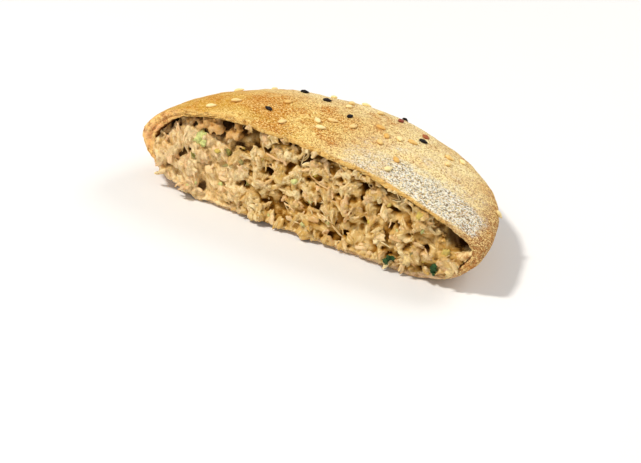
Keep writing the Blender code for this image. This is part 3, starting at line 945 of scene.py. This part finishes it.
def tunaMaterial():
    newMaterial("tunaFinish")
    x = addNode("ShaderNodeSeparateXYZ", Vector=objectPlace()).outputs["X"]
    hollow, pit, deep = layer("hollow"), layer("pit"), layer("deep")
    leftward = ranged(x, -0.008, -0.040)
    tone = plus(plus(times(layer("tone"), 0.6), times(grain(230, 4), 0.8)), times(leftward, 0.25))
    fine = grain(1150, 4, 0.65, place=layer("fibre", "Vector"))  # streaks run along the fibres
    # the painted shade is weaker at the left end and at the right end
    less = times(ranged(leftward, 0, 1, 1, 0.35), ranged(x, 0.028, 0.044, 1, 0.65))
    shaded = calc("MAXIMUM", ranged(hollow, 0, 0.6), ranged(pit, -0.05, 0.45))
    # painted shade: crevices and pits are painted darker brown, and the deepest gaps and the cavity nearly
    # black
    colour = painted(
        blend(ranged(tone, 0.45, 1.12), filling["tan"], filling["cream"]),
        filling,
        (calc("ADD", times(layer("pink"), 0.7), times(leftward, 0.25), True), "pink"),
        (ranged(fine, 0.50, 0.34, 0, 0.85), "tan"),
        (ranged(fine, 0.50, 0.66, 0, 0.75), "cream"),
        (calc("MULTIPLY", layer("browned"), 0.85, True), "browned"),
        (times(shaded, less), "shade", "MULTIPLY"),
        (times(ranged(hollow, 0.15, 1.0, 0, 0.65), less), "crevice"),
        (times(ranged(pit, 0.06, 0.75, 0, 0.92), less), "crevice"),
        # painted shadow: the deepest pits, the gaps and the cavity nearly black
        (ranged(pit, 0.62, 1.0, 0, 0.85), "gap"),
        (ranged(deep, 0, 1, 0, 0.90), "gap"),
    )
    return finished(
        colour,
        ranged(fine, 0.3, 0.7, 0.40, 0.62),
        Specular_IOR_Level=ranged(calc("MAXIMUM", deep, pit), 0, 0.7, 0.35, 0.03),
        Subsurface_Weight=0.08,
        Subsurface_Radius=(0.0014, 0.0007, 0.0003),
        Subsurface_Scale=1.0,
        Normal=bumps(grain(1500, 3), 0.00006, 0.7, Normal=bumps(fine, 0.00038, 0.9)),
    )


def buildFace(material):
    heap, shape = Heap(), random.Random(filling["shapeSeed"])
    addSlab(heap)
    for add in (addStrandsAndFlakes, addClots, addBrownedCrumb, addSpikes, addFringe):
        add(heap, shape)
    points, faces = heap.mesh()
    item = newMesh("tunaFace", points, faces, "tuna_filling", "tuna_filling")
    print("heap of", len(faces), "faces")
    meltTogether(item)
    mesh = item.data
    finder = kdtree.KDTree(len(points))
    for i, p in enumerate(toFrame(points)):
        finder.insert(p, i)
    finder.balance()
    skin = readPoints(mesh) - toFrame((0, 0, 0))
    nearest = [finder.find(Vector(p))[1] for p in toFrame(skin)]
    alongFibres = stretched(skin, np.concatenate(heap.ways)[nearest])
    rough = 0.00034 * noiseAt(alongFibres, 0.0011, (5, 1, 1)) + 0.00004 * noiseAt(skin, 0.0007, (1, 6, 2))
    front = 1 - smoothStep(0.006, 0.008, skin[:, 1])
    skin = skin + readPoints(mesh, "normal") * (rough * front)[:, None]
    skin[:, 1] += carvedPits(skin)
    skin = keepInside(skin)
    mesh.vertices.foreach_set("co", toFrame(skin).ravel())
    mesh.update()
    tone, pink, browned = np.concatenate(heap.values)[nearest].T
    # painted shadow: how far a point lies behind the face or in the cavity at the right end, for painting it
    # nearly black
    cavity = np.array([hollowAt(p[0], p[2], hollows[-1:]) for p in skin]) / hollows[-1][-1]
    deep = np.maximum(smoothStep(0.0026, 0.0065, skin[:, 1]), smoothStep(0.25, 0.60, cavity))
    deep *= smoothStep(-0.0005, 0.0015, skin[:, 1])
    hollow = np.clip(hollowness(mesh, skin) / 0.0004, -1, 1)
    pit = np.clip(pitDepth(skin) / 0.0016, -1, 1)
    dress(item, material, tone=tone, pink=pink, browned=browned, fibre=alongFibres,
          hollow=hollow, pit=pit, deep=deep)
    mesh.shade_smooth()
    print("tuna face", sum(len(face.vertices) - 2 for face in mesh.polygons), "triangles")


def buildCore(material):
    # the plain mass behind the face, inside the crust
    around, rings = 96, 26
    start = filling["backCut"] - 0.0008
    depths = [depth + filling["clearance"] for depth in inside]
    points = [[0, start, bread["rimHeight"]]]
    for i, ring in enumerate(skinRings(rings, 1, depths, around)):
        narrower = 0.90 + 0.10 * min(1, i / 6)
        ring[:, 0] *= narrower
        ring[:, 2] = bread["rimHeight"] + (ring[:, 2] - bread["rimHeight"]) * narrower
        ring[:, 1] = np.maximum(ring[:, 1], start + 0.0001 * i)
        points += ring.tolist()
    points += backPole(depths).tolist()
    item = newMesh("tunaCore", points, ringFaces(rings, around), "tuna_filling", "tuna_filling")
    zero = np.zeros(len(points))
    # painted shadow: the whole core is painted nearly black, as it lies in shade
    dress(item, material, tone=zero + 0.5, pink=zero, browned=zero, fibre=points,
          hollow=zero, pit=zero, deep=zero + 1)


def buildShreds(material):
    # loose ends of fibre that stand off the face
    heap, draw, made = Heap(), random.Random(filling["shredSeed"]), 0
    while made < filling["shreds"]:
        x, z, _, turn, _ = freePlace(draw, 0.75, 0.003)
        turn += draw.uniform(-60, 60)
        direction = pointing(turn, draw.uniform(-18, 25))
        middle = np.array((x, frontAt(x, z) - draw.uniform(0.0002, 0.0011), z))
        length, thick = draw.uniform(0.0030, 0.0075), draw.uniform(0.00018, 0.00046)
        points, faces = fibre(draw, middle, direction, length, thick, 9, 0.25, 0.6)
        if (points[:, 2] > 0.001).all() and (fullness(points, inside) < 0.985).all():
            heap.add(points, faces, draw.uniform(0.4, 1.0), draw.random() ** 2, 0, direction)
            made += 1
    points, faces = heap.mesh()
    item = newMesh("tunaShreds", points, faces, "tuna_filling", "tuna_filling")
    tone, pink, browned = np.concatenate(heap.values).T
    zero = np.zeros(heap.count)
    dress(item, material, tone=tone, pink=pink, browned=browned, hollow=zero, pit=zero, deep=zero,
          fibre=stretched(points, np.concatenate(heap.ways)))


tunaFinish = tunaMaterial()
buildFace(tunaFinish)
buildCore(tunaFinish)
buildShreds(tunaFinish)
print("filling built")

# the dough that folds inward at the right end of the cut
fold = {
    "path": metres(((52.2, 11.8), (54.5, 12.2), (56.6, 13.2), (58.2, 14.8), (58.8, 16.6)), 2),
    "depth": 0.0016,
    "thick": 0.0011,
    "colour": (0.95, 0.70, 0.32, 1),
    "shade": (0.62, 0.30, 0.085, 1),
}


def buildFold():
    ends = np.array(fold["path"])
    t = np.linspace(0, len(ends) - 1, 40)
    line = np.stack([np.interp(t, range(len(ends)), ends[:, k]) for k in range(2)], axis=1)
    for _ in range(12):  # rounds the corners of the path
        line[1:-1] = (line[:-2] + 2 * line[1:-1] + line[2:]) / 4
    y = fold["depth"] + 0.0003 * np.sin(t * 4.1)
    swell = 1 + 0.25 * np.sin(t * 5.3 + 1) * np.sin(t * 2.1)
    radii = fold["thick"] * swell * np.sin(math.pi * np.clip(0.12 + 0.80 * t / t[-1], 0, 1)) ** 0.5
    points, faces = tube(np.stack((line[:, 0], y, line[:, 1]), axis=1), radii, 18, 1.5)
    points += np.stack([0.00022 * noiseAt(points, 0.0012, (k, 1, 4)) for k in range(3)], axis=1)
    item = newMesh("doughFold", points, faces, "bread_crust", "bread_crust")
    newMaterial("doughFoldFinish")
    streaks = grain(650, 4)
    colour = blend(ranged(streaks, 0.36, 0.58), fold["shade"], fold["colour"])
    normal = bumps(grain(1400, 3), 0.00020, 0.8)
    dress(item, finished(colour, ranged(streaks, 0.3, 0.7, 0.55, 0.75), Normal=normal))


buildFold()
print("fold built")

# chopped green bits: x, z, length and width in millimetres, turn in degrees, kind
greens = {
    "places": metres((
        (-40.2, 22.2, 5.0, 4.0, 60, "leaf"), (-38.8, 20.7, 2.6, 2.2, -20, "leaf"),
        (-33.0, 19.9, 2.0, 1.8, 10, "pickle"), (-29.8, 20.0, 2.6, 2.0, 0, "dark"),
        (-29.4, 15.7, 2.8, 1.2, 10, "dark"), (-31.0, 8.5, 1.6, 1.2, 30, "leaf"),
        (-41.5, 15.5, 2.2, 1.2, -40, "dark"), (-4.1, 19.1, 2.2, 1.6, 30, "leaf"),
        (-11.0, 3.6, 2.6, 1.7, 80, "pickle"), (31.7, 4.6, 3.6, 3.0, 0, "leafDark"),
        (47.2, 6.0, 3.0, 2.6, 20, "leafDark"), (39.8, 22.2, 3.2, 2.0, 70, "pickle"),
        (22.8, 13.5, 2.6, 2.0, 60, "pickle"), (49.7, 12.0, 3.4, 2.0, 60, "pickle"),
        (1.7, 22.9, 2.2, 1.4, -30, "pickle"), (53.0, 7.8, 5.2, 2.4, 60, "onion"),
        (38.5, 7.0, 4.8, 1.8, 75, "onion"), (-8.0, 15.5, 3.0, 1.8, 80, "onion"),
        (12.0, 20.0, 3.4, 1.8, -40, "onion"), (-47.0, 16.0, 4.0, 1.6, 80, "onion"),
        (45.0, 17.0, 3.6, 1.8, 30, "onion"),
    ), 4),
    "scattered": 26,
    "drawSeed": 8,
    "stand": {"leaf": 0.0009, "leafDark": 0.0009, "dark": 0.0006, "pickle": 0.0004, "onion": 0.0005},
    "leaf": (0.45, 0.48, 0.16, 1),
    "leafDark": (0.011, 0.050, 0.010, 1),
    "dark": (0.16, 0.145, 0.015, 1),
    "pickle": (0.42, 0.30, 0.035, 1),
    "onion": (0.62, 0.43, 0.18, 1),
}


def addGreenBit(heap, draw, x, z, length, width, turn, kind):
    # dark leaf is a curly cluster of small lumps, anything else one flattened lump
    curly = kind == "leafDark"
    part = 0.5 if curly else 1.0
    reach = (0.5 * length, 0.2 * width, 0.5 * width) if curly else ()
    front = frontAt(x, z) - greens["stand"][kind] - 0.2 * width
    for i in range(7 if curly else 1):
        addLump(heap, draw, (0, 0, 0), 0.5, draw.random(), rough=0.8)
        points = heap.points[-1] * np.array((length * part, width * 0.6 * part, width * part))
        spin = Matrix.Rotation(-math.radians(turn + 50 * i), 3, "Y")
        spin = spin @ Matrix.Rotation(draw.uniform(-0.4, 0.4), 3, "Z")
        aside = [draw.uniform(-limit, limit) for limit in reach] or (0, 0, 0)
        heap.points[-1] = points @ np.array(spin).T + np.array((x, front, z)) + np.array(aside)


def greenMaterial(kind):
    newMaterial(kind + "Finish")
    light = tuple(min(1, 1.7 * c + 0.004) for c in greens[kind][:3]) + (1,)
    colour = blend(ranged(grain(900, 3), 0.35, 0.7), greens[kind], light)
    creamy = 0.02 if kind == "leafDark" else 0.25
    colour = blend(times(layer("tone"), creamy), colour, filling["cream"])
    roughness = ranged(grain(1500, 2, 0.5), 0.3, 0.7, 0.4, 0.6)
    return finished(colour, roughness, Specular_IOR_Level=0.2, Normal=bumps(grain(2200, 3), 0.0001, 0.6))


def buildGreens():
    draw = random.Random(greens["drawSeed"])
    places = list(greens["places"])
    for _ in range(greens["scattered"]):
        x, z = freePlace(draw, 0.7, 0.0035)[:2]
        size = draw.uniform(0.0008, 0.0018)
        kind = draw.choice(("pickle", "pickle", "dark", "leaf"))
        places.append((x, z, size, size * draw.uniform(0.5, 0.9), draw.uniform(0, 180), kind))
    for kind in greens["stand"]:
        heap = Heap()
        for place in places:
            if place[-1] == kind:
                addGreenBit(heap, draw, *place)
        item = newMesh(kind + "Bits", *heap.mesh(), "tuna_filling", "tuna_filling")
        dress(item, greenMaterial(kind), tone=np.concatenate(heap.values)[:, 0])


buildGreens()
print("greens built")

# seeds baked onto the crust: x and y back from the cut in millimetres, turn in degrees
seeds = {
    "sesameSize": (0.0035, 0.0021, 0.0013),
    "sesameTaper": 0.5,
    "nigellaSize": (0.0031, 0.0016, 0.0013),
    "nigellaTaper": 0.45,
    "sunk": 0.18,
    "toneSeed": 14,
    "sesame": metres((
        (-39.5, 4.2, 36), (-34.7, 11.7, 33), (-15.2, 7.8, 72), (-21.3, 22.3, 72), (-7.5, 16.6, 138),
        (-4.2, 12.9, 27), (-4.0, 20.6, 18), (2.6, 22.5, 72), (-6.8, 37.6, 84), (-8.6, 43.2, 84),
        (8.6, 30.6, 0), (13.4, 20.4, 138), (12.8, 26.4, 120), (16.3, 28.6, 132), (20.1, 31.1, 9),
        (22.5, 14.2, 138), (23.7, 6.6, 72), (31.8, 35.0, 9), (33.7, 30.1, 84), (34.5, 39.5, 144),
        (55.5, 24.0, 33), (1.9, 43.9, 72), (8.2, 46.6, 87), (19.8, 41.2, 150), (-44.0, 30.0, 20),
        (-36.0, 40.0, 100), (-19.0, 50.0, 140), (-8.0, 53.0, 10),
    ), 2),
    "nigella": metres((
        (-23.5, 12.9, 165), (-23.9, 38.1, 9), (-14.1, 35.6, 33), (-1.8, 28.4, 78), (21.6, 35.9, 15),
        (-30.0, 47.5, 60), (6.0, 54.5, 75),
    ), 2),
    "dark": (22, 23),  # which of the sesame seeds came out dark red
    "orange": (10, 12, 15),  # and which toasted orange
    "pale": (0.96, 0.78, 0.38, 1),
    "golden": (0.80, 0.47, 0.12, 1),
    "toasted": (0.55, 0.20, 0.045, 1),
    "darkRed": (0.28, 0.055, 0.025, 1),
    "black": (0.008, 0.006, 0.007, 1),
    "soot": (0.022, 0.017, 0.017, 1),
    # the pieces, each with its two colours
    "pieces": {
        "sesameSeeds": ("pale", "golden"),
        "orangeSeeds": ("golden", "toasted"),
        "darkSeeds": ("darkRed", "toasted"),
        "nigellaSeeds": ("black", "soot"),
    },
}


def dropOnCrust(x, y):
    low, high = bread["rimHeight"], bread["rimHeight"] + 2 * bread["crownRise"]
    for _ in range(30):
        middle = (low + high) / 2
        under = fullness(np.array([(x, y, middle)]))[0] < 1
        low, high = (middle, high) if under else (low, middle)
    return np.array([(x, y, low)])


def seedShape(kind, x, y, turn):
    size, tip = seeds[kind + "Size"], seeds[kind + "Taper"]
    point = dropOnCrust(x, y)
    normal = surfaceNormals(point)
    point[:, 1] += lipShift(point)
    point = point + normal * (broadSwell(point, normal) + size[2] * (0.5 - seeds["sunk"]))
    normal = Vector(normal[0])
    along = Vector((math.cos(math.radians(turn)), math.sin(math.radians(turn)), 0))
    along = (along - normal * along.dot(normal)).normalized()
    stand = np.array(Matrix((along, normal.cross(along), normal)).transposed())
    shape = []
    for up, t in ballAngles(13, 16):
        a, b, c = math.cos(up) / 2, math.sin(up) * math.cos(t) / 2, math.sin(up) * math.sin(t) / 2
        taper = 1 - tip * max(0, a) * 2
        shape.append((a * size[0], b * size[1] * taper, c * size[2] * taper))
    return np.array(shape) @ stand.T + point, ringFaces(11, 16)


def seedMaterial(name):
    newMaterial(name + "Finish")
    tone = plus(times(layer("tone"), 0.7), times(grain(700, 3), 0.5))
    colour = blend(ranged(tone, 0.45, 1.05), *[seeds[key] for key in seeds["pieces"][name]])
    roughness = ranged(grain(1500, 2, 0.5), 0.3, 0.7, 0.42, 0.6)
    shine = 0.15 if name == "nigellaSeeds" else 0.3
    return finished(colour, roughness, Specular_IOR_Level=shine, Normal=bumps(grain(2500, 3), 0.00007, 0.6))


def buildSeeds():
    heaps = {name: Heap() for name in seeds["pieces"]}
    tones = random.Random(seeds["toneSeed"])
    for i, place in enumerate(seeds["sesame"]):
        name = "darkSeeds" if i in seeds["dark"] else "orangeSeeds" if i in seeds["orange"] else "sesameSeeds"
        heaps[name].add(*seedShape("sesame", *place), tones.random())
    for place in seeds["nigella"]:
        heaps["nigellaSeeds"].add(*seedShape("nigella", *place), tones.random())
    for name, heap in heaps.items():
        item = newMesh(name, *heap.mesh(), "bread_crust", "bread_crust")
        dress(item, seedMaterial(name), tone=np.concatenate(heap.values)[:, 0])


buildSeeds()
print("seeds built")

# camera, floor and light
photo = {
    "width": 641,
    "azimuth": 26.6,
    "elevation": 30.0,
    "roll": -6.0,
    "distance": 0.70268,
    "lens": 123.56,
    "sensor": 36,
    "offCentre": (17.7, 4.65),
}
# each light: its place, size, power and colour
studio = {
    "sky": 0.33,
    "key": ((-0.26, -0.36, 0.71), 0.12, 5.0, (1.0, 0.965, 0.90)),
    "fill": ((0.25, -0.8, 0.40), 0.6, 0.7, (1.0, 0.97, 0.92)),
    "back": ((0.32, 0.50, 0.58), 0.5, 2.8, (1.0, 0.98, 0.95)),
    "aimHeight": 0.015,
    "floorReach": 3,
    "floorTones": ((0.88, 0.88, 0.88, 1), (0.92, 0.92, 0.92, 1)),
}


def buildCamera():
    turn, tip, roll = (math.radians(photo[key]) for key in ("azimuth", "elevation", "roll"))
    right = Vector((math.cos(turn), math.sin(turn), 0))
    forward = Vector((-math.sin(turn) * math.cos(tip), math.cos(turn) * math.cos(tip), -math.sin(tip)))
    up = right.cross(forward)
    across = right * math.cos(roll) - up * math.sin(roll)
    upward = right * math.sin(roll) + up * math.cos(roll)
    focal = photo["lens"] / photo["sensor"] * photo["width"]
    aim = (forward * focal + across * photo["offCentre"][0] + upward * photo["offCentre"][1]).normalized()
    across = aim.cross(upward).normalized()
    upward = across.cross(aim)
    camera = newObject("camera", bpy.data.cameras.new("camera"))
    place = Vector((0, bread["cutPlaneY"], 0)) - forward * photo["distance"]
    camera.matrix_world = Matrix.Translation(place) @ Matrix((across, upward, -aim)).transposed().to_4x4()
    camera.data.lens = photo["lens"]
    camera.data.sensor_width = photo["sensor"]
    camera.data.clip_start = 0.01
    bpy.context.scene.camera = camera


def buildFloor():
    r = studio["floorReach"]
    mesh = bpy.data.meshes.new("floor")
    mesh.from_pydata([(-r, -r, 0), (r, -r, 0), (r, r, 0), (-r, r, 0)], [], [(0, 1, 2, 3)])
    floor = newObject("floor", mesh)
    newMaterial("paleFloor")
    mesh.materials.append(finished(blend(grain(3, 2, 0.5), *studio["floorTones"]), 0.9))


def addLight(name, place, size, power, colour):
    light = bpy.data.lights.new(name, "AREA")
    light.shape = "DISK"
    light.size = size
    light.energy = power
    light.color = colour
    item = newObject(name, light)
    item.location = place
    aim = Vector((0, 0, studio["aimHeight"])) - Vector(place)
    item.rotation_euler = aim.to_track_quat("-Z", "Y").to_euler()


def buildLight():
    world = bpy.data.worlds.new("studio")
    bpy.context.scene.world = world
    world.use_nodes = True
    background = world.node_tree.nodes["Background"]
    background.inputs["Color"].default_value = (1, 1, 1, 1)
    background.inputs["Strength"].default_value = studio["sky"]
    for name in ("key", "fill", "back"):
        addLight(name + "Light", *studio[name])
    bpy.context.scene.view_settings.view_transform = "Standard"


buildCamera()
buildFloor()
buildLight()
print("camera, floor and light set")
